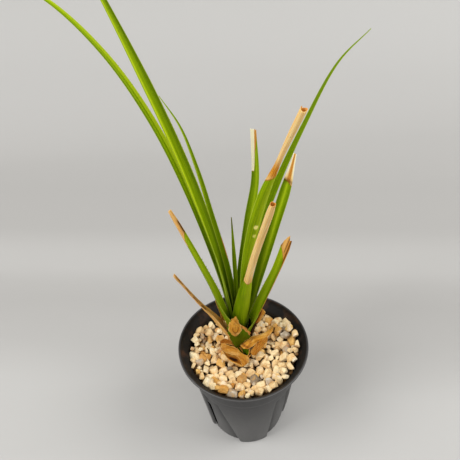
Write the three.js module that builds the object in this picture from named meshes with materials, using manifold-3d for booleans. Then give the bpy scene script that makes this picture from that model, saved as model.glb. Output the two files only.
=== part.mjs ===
// A potted bromeliad: a clump of narrow channelled leaves, most of them trimmed short, with dry
// sheaths round its foot, standing in pale gravel in a small slit-sided nursery pot.
// Millimetres, +Z up. The origin is the middle of the pot's underside. -Y faces the viewer.

import * as THREE from "three";
import Module from "manifold-3d";

const wasm = await Module();
wasm.setup();

// Pot
const RIM_RADIUS = 45;
const POT_HEIGHT = 82.5;
const FOOT_RADIUS = 30;
const SHOULDER_HEIGHT = 74.5;
const SHOULDER_RADIUS = 39.3;
const LIP_HEIGHT = 1.5;
const LIP_WIDTH = 1.9;
const LIP_STEP = 0.8;
const SOLE_RADIUS = 22;
const WALL = 1.1;
const FLOOR = 2;
const PANEL_COUNT = 4;
const PANEL_DEPTH = 1.6;
const PANEL_TOP = 52;
const PANEL_FADE = 5;
const PANEL_LIFT = 1.2;
const PANEL_STEP_DEG = 2;
const FOOT_RIGHT_DEG = 26;
const FOOT_LEFT_DEG = -12;
const FOOT_RIGHT_SLOPE = 0.1;
const FOOT_LEFT_SLOPE = -0.38;
const SLIT_PANELS = [1, 3];
const SLIT_TURN_DEG = FOOT_RIGHT_DEG + 9;
const SLIT_WIDTH = 2.6;
const SLIT_BOTTOM = 9;
const SLIT_TOP = 43;

// Gravel: the bed is level with the stones' lower halves, and loose stones lie on it
const BED_EDGE_HEIGHT = 66.5;
const BED_MOUND = 3.5;
const BED_SIDE_GAP = 0.85;
const MOUND_FROM = 38;
const MOUND_TO = 8;
const STONE_TRIES = 44;
const STONE_SPREAD = 37;
const STONE_HALF = 2.9;
const STONE_STRETCH = [1.15, 0.95, 0.85];
const STONE_REST = 0.15;
const STONE_TURN_DEG = 137.5;
const PLANT_CLEARANCE = 13;

// Plant
const PLANT_X = -2;
const PLANT_Y = 10;
const GROUND = 70;
const LEAF_THICKNESS = 0.55;
const TIP_THICKNESS = 0.32;
const TWIST_FROM = 0.05;
const TWIST_TO = 0.5;
const BLADE_STEP = 12;
const BLADE_STEPS_MIN = 4;
const BLADE_STEPS_MAX = 26;
const BLADE_SIDES = 4;
const CURL_LIMIT = 0.93 * Math.PI;
const STEM_PROFILE = [[2, 34], [3.6, 42], [5.6, 58], [6.6, 69], [6.4, 70], [0.9, 77.4]];
const SHOOT_X = 1.1;
const SHOOT_Y = -2.2;
const SHOOT_PROFILE = [[2.4, 62], [3.5, 68], [3.9, 76.4], [3.1, 76.2], [2.6, 74.2]];
const SHOOT_OUTSIDE_POINTS = 3;

// Clearance between neighbouring pieces
const GAP = 0.33;

const DEG = Math.PI / 180;
const { lerp, smoothstep, clamp } = THREE.MathUtils;

// Closed skin over a row of rings that all have the same number of points. The first and the
// last ring are each closed by their own cap, a list of triangles of ring indices.
function skin(rings, startCap, endCap = startCap) {
  const size = rings[0].length;
  const positions = rings.flat().flatMap((point) => [point.x, point.y, point.z]);
  const triangles = [];
  for (let row = 0; row + 1 < rings.length; row += 1) {
    for (let k = 0; k < size; k += 1) {
      const a = row * size + k;
      const b = row * size + ((k + 1) % size);
      triangles.push(a, b, b + size, a, b + size, a + size);
    }
  }
  const last = (rings.length - 1) * size;
  for (const [a, b, c] of startCap) triangles.push(c, b, a);
  for (const [a, b, c] of endCap) triangles.push(last + a, last + b, last + c);
  return asSolid(positions, triangles);
}

function asSolid(positions, triangles) {
  const mesh = new wasm.Mesh({
    numProp: 3,
    vertProperties: new Float32Array(positions),
    triVerts: new Uint32Array(triangles),
  });
  const solid = new wasm.Manifold(mesh);
  if (solid.volume() > 0) return solid;
  const flipped = [];
  for (let i = 0; i < triangles.length; i += 3) {
    flipped.push(triangles[i], triangles[i + 2], triangles[i + 1]);
  }
  return asSolid(positions, flipped);
}

function fan(size) {
  return Array.from({ length: size - 2 }, (_, k) => [0, k + 1, k + 2]);
}

// Cap of a ring that runs out along one side of a curved strip and back along the other
function stripCap(size) {
  const cap = [];
  for (let k = 0; k < size / 2 - 1; k += 1) {
    const far = size - 1 - k;
    cap.push([k, k + 1, far - 1], [k, far - 1, far]);
  }
  return cap;
}

function largest(solid) {
  return solid.decompose().reduce((best, piece) => (piece.volume() > best.volume() ? piece : best));
}

function geometryOf(solid) {
  const mesh = solid.getMesh();
  const geometry = new THREE.BufferGeometry();
  geometry.setAttribute("position", new THREE.BufferAttribute(mesh.vertProperties, 3));
  geometry.setIndex(new THREE.BufferAttribute(mesh.triVerts, 1));
  geometry.computeVertexNormals();
  return geometry;
}

// Round solid turned about a vertical axis from a list of [radius, height] points
function turned(profile, x, y, segments) {
  const rings = profile.map(([radius, height]) => Array.from({ length: segments }, (_, k) => {
    const angle = (2 * Math.PI * k) / segments;
    return new THREE.Vector3(x + radius * Math.cos(angle), y + radius * Math.sin(angle), height);
  }));
  return skin(rings, fan(segments));
}

// Pot wall. Angles run from the front, positive towards +X.
function wallRadius(height) {
  if (height <= SHOULDER_HEIGHT) {
    return lerp(FOOT_RADIUS, SHOULDER_RADIUS, Math.max(height, 0) / SHOULDER_HEIGHT);
  }
  const flare = (height - SHOULDER_HEIGHT) / (POT_HEIGHT - LIP_HEIGHT - SHOULDER_HEIGHT);
  return lerp(SHOULDER_RADIUS, RIM_RADIUS - LIP_STEP, Math.min(flare, 1));
}

// One ring of the pot: full feet with set-back panels between them
function potRing(height, inset, lift = 0) {
  const depth = PANEL_DEPTH * (1 - smoothstep(height, PANEL_TOP, PANEL_TOP + PANEL_FADE));
  const bound = Math.min(height, PANEL_TOP);
  const right = FOOT_RIGHT_DEG + FOOT_RIGHT_SLOPE * bound;
  const left = FOOT_LEFT_DEG + FOOT_LEFT_SLOPE * bound;
  const turn = 360 / PANEL_COUNT;
  const ring = [];
  const place = (degrees, radius, z) => {
    ring.push(new THREE.Vector3(radius * Math.sin(degrees * DEG), -radius * Math.cos(degrees * DEG), z));
  };
  for (let panel = 0; panel < PANEL_COUNT; panel += 1) {
    for (let k = 0; k <= 6; k += 1) {
      place(panel * turn + lerp(left, right, k / 6), wallRadius(height) - inset, height);
    }
    for (let k = 0; k <= 4; k += 1) {
      const degrees = lerp(right + PANEL_STEP_DEG, left + turn - PANEL_STEP_DEG, k / 4);
      place(panel * turn + degrees, wallRadius(height) - inset - depth, height + lift);
    }
  }
  return ring;
}

function flatRing(radius, height, pattern) {
  return pattern.map((point) => {
    const angle = Math.atan2(point.y, point.x);
    return new THREE.Vector3(radius * Math.cos(angle), radius * Math.sin(angle), height);
  });
}

function makePot() {
  const sole = potRing(0, 0, PANEL_LIFT);
  const outside = [3, 14, 27, 40, PANEL_TOP, PANEL_TOP + PANEL_FADE, SHOULDER_HEIGHT];
  const inside = [...outside].reverse();
  inside.pop();
  const lipBottom = POT_HEIGHT - LIP_HEIGHT;
  const rings = [
    flatRing(SOLE_RADIUS, 0, sole),
    sole,
    ...outside.map((height) => potRing(height, 0)),
    potRing(lipBottom, 0),
    flatRing(RIM_RADIUS, lipBottom + 0.3, sole),
    flatRing(RIM_RADIUS, POT_HEIGHT, sole),
    flatRing(RIM_RADIUS - LIP_WIDTH, POT_HEIGHT, sole),
    ...inside.map((height) => potRing(height, WALL)),
    potRing(FLOOR + 1, WALL + 0.4),
    flatRing(FOOT_RADIUS - PANEL_DEPTH - WALL - 2, FLOOR, sole),
  ];
  let pot = skin(rings, fan(sole.length));
  for (const panel of SLIT_PANELS) {
    pot = pot.subtract(slitCutter(panel));
  }
  return pot;
}

// Narrow upright slot at the corner of a set-back panel, beside the foot
function slitCutter(panel) {
  const degrees = (360 / PANEL_COUNT) * panel + SLIT_TURN_DEG;
  const box = new THREE.BoxGeometry(SLIT_WIDTH, 14, SLIT_TOP - SLIT_BOTTOM);
  box.translate(0, -34, (SLIT_TOP + SLIT_BOTTOM) / 2);
  box.rotateZ(degrees * DEG);
  return solidOf(box);
}

// Solid from a three.js geometry: corners that coincide are merged by position
function solidOf(geometry) {
  const source = geometry.getAttribute("position");
  const seen = new Map();
  const positions = [];
  const remap = [];
  for (let i = 0; i < source.count; i += 1) {
    const point = [source.getX(i), source.getY(i), source.getZ(i)];
    const key = point.map((value) => Math.round(value * 1e4)).join();
    if (!seen.has(key)) {
      seen.set(key, seen.size);
      positions.push(...point);
    }
    remap.push(seen.get(key));
  }
  const order = geometry.index ? [...geometry.index.array] : [...remap.keys()];
  return asSolid(positions, order.map((corner) => remap[corner]));
}

// Blades. Each leaf or dry sheath grows in an upright plane at its own azimuth (0 is +X, 90 is
// away from the viewer) along a spine of [distance from the plant's axis, height above ground].
// Its section is an arc, open towards the plant: [place along it, half width, arc in degrees].
// Above its base the section turns about the spine by twist degrees.
const SPEAR = [[0, 1.2, 130], [0.3, 1.55, 140], [0.7, 1.3, 130], [1, 0.35, 120]];
const NARROW = [[0, 2, 120], [0.12, 2.6, 140], [0.4, 2.9, 120], [0.7, 2.1, 105], [1, 0.4, 90]];
const CUT_SQUARE = [[0, 2, 120], [0.12, 2.6, 140], [0.4, 3, 120], [0.7, 2.75, 105], [1, 1.75, 100]];
const SLENDER = [[0, 2, 120], [0.12, 2.6, 140], [0.4, 2.5, 120], [0.7, 1.65, 105], [1, 0.4, 90]];
const ARCHING = [[0, 2, 120], [0.12, 2.6, 140], [0.35, 2.75, 120], [0.6, 2, 105], [0.8, 1, 95],
  [1, 0.4, 90]];
const BROAD = [[0, 2.7, 130], [0.12, 2.8, 140], [0.45, 3.75, 105], [0.7, 2.95, 100], [0.85, 1.4, 95],
  [1, 0.4, 90]];
const NOTCHED = [[0, 4, 120], [0.2, 3.7, 140], [0.6, 3.95, 105], [0.85, 3.6, 100], [1, 1.3, 95]];
const SHORT_RIGHT = [[0, 4.7, 110], [0.3, 4.1, 130], [0.7, 2.9, 130], [1, 2.6, 120]];
const SHORT_LEFT = [[0, 4, 120], [0.2, 4.6, 140], [0.5, 3, 130], [1, 1.6, 130]];
const ROLLED_TIP = [[0, 2.7, 110], [0.3, 3.2, 140], [0.6, 3.85, 130], [0.76, 2.2, 220],
  [0.82, 1.7, 300], [1, 1.8, 320]];
const ROLLED_HALF = [[0, 5, 140], [0.2, 6.4, 140], [0.36, 4.3, 160], [0.45, 2.6, 270], [1, 1.95, 320]];
const FOLDED = [[0, 5.7, 130], [0.3, 4.9, 140], [0.55, 1.9, 170], [0.8, 1.2, 180], [1, 1.1, 170]];
const FLAP = [[0, 3, 100], [0.3, 4.8, 120], [0.65, 4, 110], [1, 0.7, 90]];
const SIDE_FLAP = [[0, 3, 100], [0.4, 4.6, 120], [0.75, 3, 120], [1, 0.8, 90]];
const COLLAR = [[0, 5.2, 110], [0.6, 6.6, 130], [1, 5.2, 110]];
const SPLINTER = [[0, 2.4, 90], [0.5, 1.3, 90], [1, 0.4, 80]];

const LEAVES = [
  { name: "leaf_spear", azimuth: 100, twist: 0, blade: SPEAR, colour: 0x4f7a08,
    spine: [[1.3, 8], [1.6, 50], [2.4, 111.5]] },
  { name: "leaf_back_left", azimuth: 145, twist: 8, blade: NARROW, colour: 0x6c9410,
    spine: [[2.1, 6], [2.9, 34], [6.3, 69], [14.5, 107], [22.4, 141], [30.1, 163], [41.7, 178]] },
  { name: "leaf_back_right", azimuth: 50, twist: 24, blade: CUT_SQUARE, colour: 0x4c7a0c,
    spine: [[2.1, 6], [3.2, 34], [5.4, 59], [15.8, 101], [23.4, 126], [22.6, 159]] },
  { name: "leaf_left_broad", azimuth: 175, twist: -35, blade: BROAD, colour: 0x7da010,
    spine: [[2.9, 5], [5, 28], [9.8, 79], [18.8, 126], [28.2, 164], [41.3, 207], [48.7, 229],
      [57.7, 254], [67.5, 269]] },
  { name: "leaf_right_rolled", azimuth: -22, twist: -45, blade: ROLLED_TIP, colour: 0x7a9c12,
    spine: [[2.9, 5], [3.2, 28], [8.3, 81], [17.5, 125], [29.2, 160], [38.3, 182.8]] },
  { name: "leaf_right_pointed", azimuth: 20, twist: 20, blade: SLENDER, colour: 0x6a8e0e,
    spine: [[3.7, 4], [5.4, 30], [11, 77], [28, 123], [44.5, 160], [62, 190], [79.6, 203.6]] },
  { name: "leaf_left_arching", azimuth: 158, twist: -32, blade: ARCHING, colour: 0x76980c,
    spine: [[3.8, 4], [5.5, 24], [13.6, 75], [25.4, 124], [41.8, 168], [62.7, 202], [89.5, 226],
      [120, 236], [148, 234.5]] },
  { name: "leaf_right_notched", azimuth: 8, twist: 35, blade: NOTCHED, colour: 0x5c8c0c,
    spine: [[4.6, 3], [6, 20], [14.3, 59], [24.2, 99], [32.2, 130], [36, 148.8]] },
  { name: "leaf_left_short", azimuth: 207, twist: -48, blade: SHORT_LEFT, colour: 0x6c9a10,
    spine: [[4.6, 3], [5.8, 20], [14.8, 58], [25.4, 96], [36.3, 132.3]] },
  { name: "leaf_front_rolled", azimuth: -56, twist: -40, blade: ROLLED_HALF, colour: 0x7ca014,
    spine: [[5.3, 2], [4.9, 28], [7.8, 52], [17.1, 88], [35.6, 142]] },
  { name: "leaf_right_short", azimuth: -18, twist: 45, blade: SHORT_RIGHT, colour: 0x5f8f0e,
    spine: [[6.3, 1], [8.5, 14], [16, 44], [26.2, 77], [33.8, 103.4]] },
];

const DRY_SHEATHS = [
  { name: "leaf_left_dead", azimuth: 189, twist: -20, blade: FOLDED, colour: 0xc9934e,
    spine: [[6.6, -1], [8.6, 10], [14.8, 27], [27.7, 53], [38.1, 76.4]] },
  { name: "dry_collar", azimuth: 278, twist: 0, blade: COLLAR, colour: 0x8f7a3a,
    spine: [[7.6, -1], [8, 8], [8.4, 19]] },
  { name: "dry_sheath_front", azimuth: 251, twist: 0, blade: FLAP, colour: 0xc98f4a,
    spine: [[8.8, 15], [9.5, 25], [9.4, 36.5]] },
  { name: "dry_sheath_right", azimuth: -2, twist: 40, blade: SIDE_FLAP, colour: 0xb5742c,
    spine: [[8.6, 2], [12, 15], [17.4, 34.5]] },
  { name: "dry_splinter_back", azimuth: 163, twist: 0, blade: SPLINTER, colour: 0xc48a48,
    spine: [[8.2, 2], [11.8, 23], [15.4, 41]] },
];

// Dry strips that have dropped on to the gravel, as points in space, face up
const STRIP_WIDE = [[0, 3.4, 100], [0.3, 3.5, 110], [0.6, 2.6, 100], [1, 1.2, 60]];
const STRIP_SLIM = [[0, 1.6, 70], [0.5, 2.1, 90], [1, 0.8, 60]];
const STRIP_ARCHED = [[0, 2.2, 80], [0.3, 3, 120], [0.65, 3.5, 140], [1, 2.4, 90]];
const DRY_STRIPS = [
  { name: "dry_strip_upper", twist: 0, blade: STRIP_WIDE, colour: 0xd09a55,
    points: [[1, 1, 78.6], [6.5, 4.8, 77.8], [11.5, 7.8, 76.8], [15.8, 9.8, 76], [21.5, 14, 75.4]] },
  { name: "dry_strip_lower", twist: 0, blade: STRIP_SLIM, colour: 0xc8914c,
    points: [[5, -4.2, 74.6], [9.4, -0.6, 75], [13.8, 3.8, 75], [17, 8, 74.6]] },
  { name: "dry_sheath_fallen", twist: -35, blade: STRIP_ARCHED, colour: 0xb98552,
    points: [[-13.5, 1.5, 75.6], [-9.5, 0.3, 76.8], [-5.5, -3.5, 77.2], [-1.8, -8, 76.3],
      [0.3, -12.3, 74.2]] },
];

function tableAt(table, place, column) {
  const next = Math.max(1, table.findIndex((row) => row[0] >= place));
  const [before, after] = [table[next - 1], table[next]];
  const blend = clamp((place - before[0]) / (after[0] - before[0]), 0, 1);
  return lerp(before[column], after[column], blend);
}

// Blade solid along a curve, hollow side towards the given direction at each point. Near its
// base the arc lies outside the curve, further up the curve runs through the arc's middle.
// grow thickens and widens it all round, for cutting its neighbours back.
function sweepBlade(curve, blade, hollowSide, twist, grow, centred) {
  const length = curve.getLength();
  const steps = clamp(Math.round(length / BLADE_STEP), BLADE_STEPS_MIN, BLADE_STEPS_MAX);
  const sides = BLADE_SIDES;
  const rings = [];
  for (let step = 0; step <= steps; step += 1) {
    const place = step / steps;
    const overrun = (step === 0 ? -grow : 0) + (step === steps ? grow : 0);
    const tangent = curve.getTangentAt(place);
    const turn = twist * DEG * smoothstep(place, TWIST_FROM, TWIST_TO);
    const hollow = hollowSide.clone()
      .addScaledVector(tangent, -hollowSide.dot(tangent))
      .normalize()
      .applyAxisAngle(tangent, turn);
    const across = new THREE.Vector3().crossVectors(tangent, hollow);
    const arc = tableAt(blade, place, 2) * DEG;
    const radius = tableAt(blade, place, 1) / Math.sin(Math.min(arc, Math.PI) / 2);
    const depth = radius * (1 - Math.cos(arc / 2));
    const shift = (depth / 2) * (centred ? 1 : smoothstep(place, 0.1, 0.35));
    const thickness = Math.min(lerp(LEAF_THICKNESS, TIP_THICKNESS, place), radius * 0.7);
    const half = Math.min(arc / 2 + grow / radius, CURL_LIMIT);
    const centre = curve.getPointAt(place)
      .addScaledVector(tangent, overrun)
      .addScaledVector(hollow, radius - shift);
    const ring = [];
    const addSide = (side, reach) => {
      const angle = lerp(-half, half, side / sides);
      ring.push(centre.clone()
        .addScaledVector(hollow, -reach * Math.cos(angle))
        .addScaledVector(across, reach * Math.sin(angle)));
    };
    for (let side = 0; side <= sides; side += 1) addSide(side, radius + grow);
    for (let side = sides; side >= 0; side -= 1) {
      addSide(side, Math.max(radius - thickness - grow, 0.06));
    }
    rings.push(ring);
  }
  return skin(rings, stripCap(rings[0].length));
}

function makeLeaf(leaf, grow = 0) {
  const azimuth = leaf.azimuth * DEG;
  const outward = new THREE.Vector3(Math.cos(azimuth), Math.sin(azimuth), 0);
  const spine = leaf.spine.map(([reach, height]) => (
    new THREE.Vector3(PLANT_X, PLANT_Y, GROUND + height).addScaledVector(outward, reach)
  ));
  const curve = new THREE.CatmullRomCurve3(spine, false, "centripetal");
  const plantward = outward.clone().negate().setZ(0.2);
  return sweepBlade(curve, leaf.blade, plantward, leaf.twist, grow, false);
}

function makeStrip(strip, grow = 0) {
  const curve = new THREE.CatmullRomCurve3(strip.points.map((point) => new THREE.Vector3(...point)));
  return sweepBlade(curve, strip.blade, new THREE.Vector3(0, 0, -1), strip.twist, grow, true);
}

// Short cone-topped stem that the leaf bases clasp, with its root end down in the gravel
function makeStem(grow = 0) {
  return turned(STEM_PROFILE.map(([radius, height], k) => (
    [radius + grow, height + (k === 0 ? -grow : grow)]
  )), PLANT_X, PLANT_Y, 24);
}

// Cut-off side shoot: an open cup of green sheath with its cut heart inside
function makeCutShoot(grow = 0) {
  const grown = SHOOT_PROFILE.map(([radius, height], k) => (
    [radius + (k < SHOOT_OUTSIDE_POINTS ? grow : 0), height + (k === 0 ? -grow : grow)]
  ));
  const profile = grow > 0 ? grown.slice(0, SHOOT_OUTSIDE_POINTS) : grown;
  return turned(profile, SHOOT_X, SHOOT_Y, 18);
}

function bedTop(radius) {
  return BED_EDGE_HEIGHT + BED_MOUND * (1 - smoothstep(radius, MOUND_TO, MOUND_FROM));
}

function makeBed() {
  const side = (height) => {
    const panel = height < PANEL_TOP + PANEL_FADE ? PANEL_DEPTH : 0;
    return [wallRadius(height) - WALL - panel - BED_SIDE_GAP, height];
  };
  const top = [30, 22, 14, 8].map((radius) => [radius, bedTop(radius)]);
  const profile = [
    [24, FLOOR + GAP],
    side(FLOOR + 3),
    side(PANEL_TOP),
    side(PANEL_TOP + PANEL_FADE + 1),
    side(BED_EDGE_HEIGHT),
    ...top,
  ];
  return turned(profile, 0, 0, 40);
}

// Loose stone: a faceted lump, longer than it is high, lying on the bed
function makeStone(x, y, turn, size) {
  const stone = new THREE.DodecahedronGeometry(STONE_HALF * size);
  stone.rotateX(turn);
  stone.scale(...STONE_STRETCH);
  stone.rotateZ(2 * turn);
  stone.computeBoundingBox();
  const lift = bedTop(Math.hypot(x, y)) + GAP + STONE_REST - stone.boundingBox.min.z;
  stone.translate(x, y, lift);
  return solidOf(stone);
}

const parts = [];
const taken = [];

function addPart(name, solid, colour, roughness) {
  const material = new THREE.MeshStandardMaterial({ color: colour, roughness, metalness: 0 });
  const mesh = new THREE.Mesh(geometryOf(solid), material);
  mesh.name = name;
  parts.push(mesh);
}

function cutBack(solid) {
  return largest(taken.reduce((rest, other) => rest.subtract(other), solid));
}

// From the innermost leaf outwards, each piece is cut back from those already placed
for (const leaf of [...LEAVES, ...DRY_SHEATHS]) {
  addPart(leaf.name, cutBack(makeLeaf(leaf)), leaf.colour, 0.55);
  taken.push(makeLeaf(leaf, GAP));
}
addPart("stem", cutBack(makeStem()), 0x8a6a3c, 0.8);
taken.push(makeStem(GAP));
addPart("cut_side_shoot", cutBack(makeCutShoot()), 0x6b7d2a, 0.7);
taken.push(makeCutShoot(GAP));
for (const strip of DRY_STRIPS) {
  addPart(strip.name, cutBack(makeStrip(strip)), strip.colour, 0.75);
  taken.push(makeStrip(strip, GAP));
}
addPart("gravel_bed", cutBack(makeBed()), 0xe6d3b4, 0.85);

// Loose stones on a sunflower pattern, wherever the plant and its litter leave room
const plantAxis = new THREE.Vector2(PLANT_X, PLANT_Y);
let stoneNumber = 0;
for (let k = 3; k < STONE_TRIES; k += 1) {
  const angle = k * STONE_TURN_DEG * DEG;
  const reach = STONE_SPREAD * Math.sqrt(k / STONE_TRIES) - 2;
  const place = new THREE.Vector2(reach * Math.cos(angle), reach * Math.sin(angle));
  const stone = makeStone(place.x, place.y, k * 1.7, 0.9 + 0.2 * Math.sin(k * 2.3));
  const clear = taken.every((other) => other.intersect(stone).isEmpty());
  if (clear && place.distanceTo(plantAxis) > PLANT_CLEARANCE && k % 2 === 0) {
    stoneNumber += 1;
    addPart(`stone_${String(stoneNumber).padStart(2, "0")}`, stone, 0xe9dac0, 0.85);
  }
}

addPart("pot", makePot(), 0x2b2c2e, 0.6);

const plant = new THREE.Group();
plant.name = "potted_bromeliad";
plant.add(...parts);

export default plant;
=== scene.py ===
import math

import bmesh
import bpy
import numpy as np
from mathutils import Matrix, Vector


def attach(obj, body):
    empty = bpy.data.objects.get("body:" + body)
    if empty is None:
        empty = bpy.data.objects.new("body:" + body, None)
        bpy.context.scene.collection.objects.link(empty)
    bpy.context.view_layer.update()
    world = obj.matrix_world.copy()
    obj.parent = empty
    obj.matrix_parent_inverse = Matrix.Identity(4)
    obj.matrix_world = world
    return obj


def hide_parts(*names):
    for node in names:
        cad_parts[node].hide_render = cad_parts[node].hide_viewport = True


# A potted bromeliad: narrow channelled leaves, most of them trimmed or dried back, with dry
# sheaths round the foot, in pale gravel in a slit-sided nursery pot. Lengths are in millimetres
# until a mesh is made. -Y faces the viewer.

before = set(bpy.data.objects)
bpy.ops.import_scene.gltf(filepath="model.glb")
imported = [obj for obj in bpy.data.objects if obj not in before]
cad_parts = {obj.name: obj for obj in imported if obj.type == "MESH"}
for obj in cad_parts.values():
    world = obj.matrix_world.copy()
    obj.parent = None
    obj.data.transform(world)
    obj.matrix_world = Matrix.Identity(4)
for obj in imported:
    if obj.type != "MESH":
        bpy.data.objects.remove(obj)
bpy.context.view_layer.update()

MM = 0.001

# Camera, fitted to the pot's rim and foot
CAMERA_PLACE = (-3.7, -196.6, 338.2)
CAMERA_PITCH = 38.46
CAMERA_ROLL = 3.90
FOCAL_PIXELS = 451
FRAME_PIXELS = 460
SENSOR = 36

# Pot. Turns are in degrees round it from the viewer's side. Its wall is painted paler downwards
# between two shade heights in metres: painted reflection of the bright floor, and painted shade
# under the rim.
RIM_RADIUS = 45.0
RIM_THICKNESS = 1.7
RIM_DROP, RIM_INSET = 1.5, 0.8
POT_HEIGHT = 82.5
FOOT_RADIUS = 30.0
SHOULDER_HEIGHT = 74.5
SHOULDER_RADIUS = 39.3
WALL = 1.1
FLOOR = 2.0
PANELS = 4
PANEL_TURN = 360 / PANELS
PANEL_DEPTH = 1.6
PANEL_TOP = 52.0
PANEL_FADE = 5.0
PANEL_LIFT = 1.2
PANEL_STEP = 4.5
# How far onto a panel, in degrees, the painted shade beside a foot reaches
CORNER_REACH = 7
SHADE_TOP, SHADE_FOOT = 0.074, 0.012
FOOT_RIGHT, FOOT_RIGHT_SLOPE = 26.0, 0.1
FOOT_LEFT, FOOT_LEFT_SLOPE = -12.0, -0.38
SLIT_PANELS = (1, 3)
SLIT_WIDTH, SLIT_BOTTOM, SLIT_TOP = 3.4, 9.0, 41.0
SLIT_BESIDE_FOOT = 10.0
SLIT_NEAR, SLIT_FAR = 26, 42
RIDGE_HEIGHT, RIDGE_DEPTH = 62.0, 0.3
LIP_TURNS = np.linspace(-50, 200, 18)

# Plant: its foot, the thickness of its tissue, the part of a leaf that twists, and the cut side shoot
PLANT = np.array([-2.0, 10.0, 70.0])
LEAF_THICKNESS = 0.42
DRY_THICKNESS = 0.28
TWIST_RANGE = (0.05, 0.5)
SPINE_SPACING, LONG_SPINE, SHORT_SPINE = 3.6, 0.8, 0.4
SHOOT = (0.5, -2.7)
SHOOT_FOOT = 71.0

# Gravel: stones in each loose layer from the top, and the height of the mass below them
STONES = (226, 190, 150)
LAYER_DROP = 4.4
LAYER_REACH = 38.0
GOLDEN_TURN = 2.39996
SMALL_SHARE = 0.33
SMALL_RADIUS, LARGE_RADIUS = (1.3, 2.1), (2.3, 3.5)
SETTLE_STEPS, SETTLE_RATE = 170, 0.35
STONE_GROWTH = 1.03
WALL_GAP = 0.15
PLANT_ROOM, SHOOT_ROOM = 8.0, 4.2
SEEN_DEPTH = 6.0
BACK_HALF = 2.0
CORE_TOP = 59.5

# Stone shapes, each a range of random values: how many flats, how far out they are, how crisp the
# edges are between them, and the stone's three widths. The tilt is a deviation in radians.
FLATS = (6, 11)
FLAT_REACH = (0.58, 0.98)
EDGE_CRISPNESS = (90, 240)
STONE_SIDES = ((1.0, 0.84, 0.74), (1.3, 1.02, 0.95))
STONE_TILT = 0.6

# Paper: painted shade, as how grey it is, from 0 to 1, against the distance behind the pot's axis plus
# the height. It stands in for the fall of the lamps' light and the soft shadows round the pot.
PAPER_SHADE = [(-110, 0.8), (-65, 0.4), (15, 0.4), (60, 0.76), (110, 0.94), (135, 0.85), (160, 0.6),
               (192, 0.62), (230, 0.88), (320, 0.84), (430, 0.62), (650, 0.44), (740, 0.27), (860, 0.06)]
PAPER_SLANT = 0.12

# Lights, in metres and watts: place, width and power
LIGHTS = {"left_softbox": ((-0.9, -0.3, 1.1), 0.7, 11.3), "right_softbox": ((0.9, -0.1, 1.0), 0.7, 7.8)}
LIGHT_TARGET = (0, 0, 0.1)
WORLD_STRENGTH = 0.6

rng = np.random.default_rng(20)


def smooth(value, low, high):
    t = np.clip((np.asarray(value, float) - low) / (high - low), 0, 1)
    return t * t * (3 - 2 * t)


def peak(value, middle, width):
    return np.exp(-((value - middle) / width) ** 2)


def noise_wave(x, seed):
    """Smooth seeded wave of x, within about -1 to 1."""
    wave = np.random.default_rng(seed)
    total = np.zeros_like(np.asarray(x, float))
    for octave in range(4):
        rate = 2.0 ** octave * wave.uniform(0.8, 1.25)
        total += np.sin(rate * x + wave.uniform(0, 6.28)) * 0.55 ** octave
    return total / 1.8


# Meshes

def link(name, data):
    """New object in the scene."""
    thing = bpy.data.objects.new(name, data)
    bpy.context.scene.collection.objects.link(thing)
    return thing


class Builder:
    """Collects vertices, faces and per-vertex fields, then makes one mesh object."""

    def __init__(self):
        self.points, self.faces, self.fields, self.count = [], [], {}, 0

    def add(self, points, faces, **fields):
        points = np.asarray(points, float).reshape(-1, 3)
        self.points.append(points)
        self.faces.extend([tuple(int(i) + self.count for i in face) for face in faces])
        for name, values in fields.items():
            values = np.broadcast_to(np.asarray(values, float).ravel(), (len(points),))
            self.fields.setdefault(name, []).append((self.count, values))
        self.count += len(points)

    def mesh(self, name, material, rounded=True):
        mesh = bpy.data.meshes.new(name)
        mesh.from_pydata((np.concatenate(self.points) * MM).tolist(), [], self.faces)
        for field, chunks in self.fields.items():
            values = np.zeros(self.count, np.float32)
            for start, part in chunks:
                values[start:start + len(part)] = part
            mesh.attributes.new(field, "FLOAT", "POINT").data.foreach_set("value", values)
        mesh.validate()
        mesh.polygons.foreach_set("use_smooth", [rounded] * len(mesh.polygons))
        mesh.materials.append(material)
        return mesh

    def make(self, name, material, slot, *nodes):
        """Make the piece that takes the place of these nodes."""
        piece = link(name, self.mesh(name, material))
        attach(piece, "root")
        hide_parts(*nodes)
        return piece


def grid_faces(rows, cols, closed=False, flip=False):
    """Quads of a grid of points, wrapping round its columns where closed."""
    faces = []
    for r in range(rows - 1):
        for c in range(cols if closed else cols - 1):
            d = (c + 1) % cols
            quad = (r * cols + c, r * cols + d, (r + 1) * cols + d, (r + 1) * cols + c)
            faces.append(quad[::-1] if flip else quad)
    return faces


def tube_faces(rows, cols):
    """Quads of a tube of points, and a face over each of its ends."""
    last = (rows - 1) * cols
    ends = [tuple(range(cols))[::-1], tuple(range(last, last + cols))]
    return grid_faces(rows, cols, closed=True) + ends


def grid_normals(mid):
    normal = np.cross(*np.gradient(mid, axis=(0, 1)))
    return normal / np.maximum(np.linalg.norm(normal, axis=2, keepdims=True), 1e-9)


def add_sheet(builder, mid, thickness, **fields):
    """Thin closed solid round a grid of points. The face on the hollow side gets inner = 1."""
    rows, cols = mid.shape[:2]
    normal = grid_normals(mid)
    half = np.broadcast_to(thickness, (rows, cols))[..., None] / 2
    points = np.concatenate([(mid + normal * half).reshape(-1, 3), (mid - normal * half).reshape(-1, 3)])
    size = rows * cols
    faces = grid_faces(rows, cols)
    faces += [tuple(size + i for i in face) for face in grid_faces(rows, cols, flip=True)]
    index = np.arange(size).reshape(rows, cols)
    rim = np.concatenate([index[0], index[1:, -1], index[-1, -2::-1], index[-2:0:-1, 0]])
    faces += [(a, size + a, size + b, b) for a, b in zip(rim, np.roll(rim, -1))]
    doubled = {name: np.tile(np.broadcast_to(value, (rows, cols)).reshape(-1), 2)
               for name, value in fields.items()}
    inner = np.concatenate([np.zeros(size), np.ones(size)])
    builder.add(points, faces, inner=inner, **doubled)


# Materials

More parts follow.
